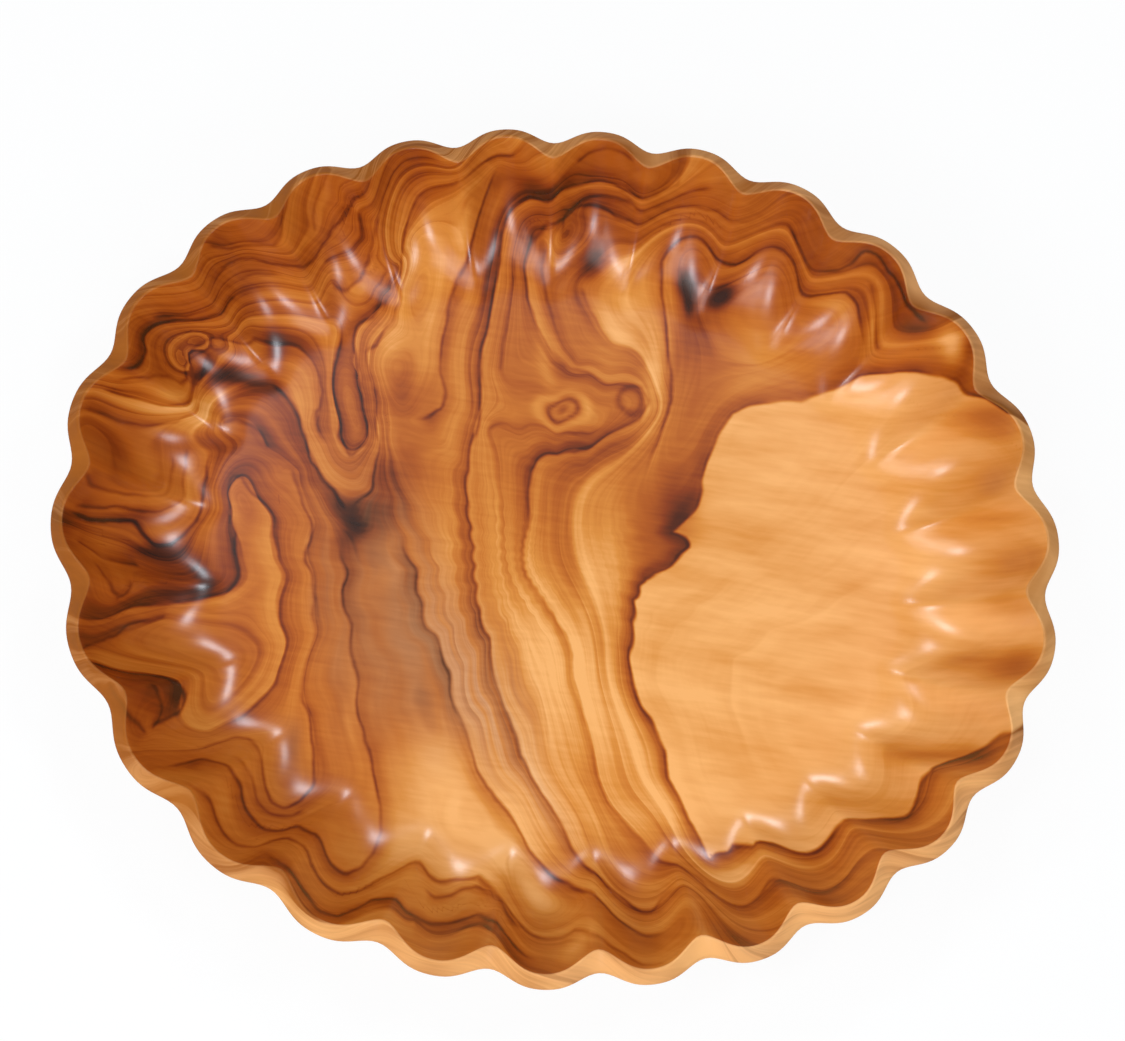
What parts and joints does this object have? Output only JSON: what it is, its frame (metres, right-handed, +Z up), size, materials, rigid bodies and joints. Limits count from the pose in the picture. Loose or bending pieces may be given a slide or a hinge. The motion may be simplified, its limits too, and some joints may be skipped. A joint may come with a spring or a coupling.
{
  "type": "scalloped serving dish",
  "caption": "Oval serving dish carved from one block of olive wood, with a fluted cove wall, a scalloped bevelled rim and a flat foot to stand on.",
  "frame": {"origin": "on the table, under the middle of the dish's outline", "axes": "+Z up out of the hollow, X along the long axis of the oval"},
  "size_m": [0.3494, 0.303, 0.0477],
  "materials": {
    "oiled_olive_wood": "oiled gloss"
  },
  "bodies": {
    "root": {"carved_dish": "oiled_olive_wood"}
  },
  "joints": []
}
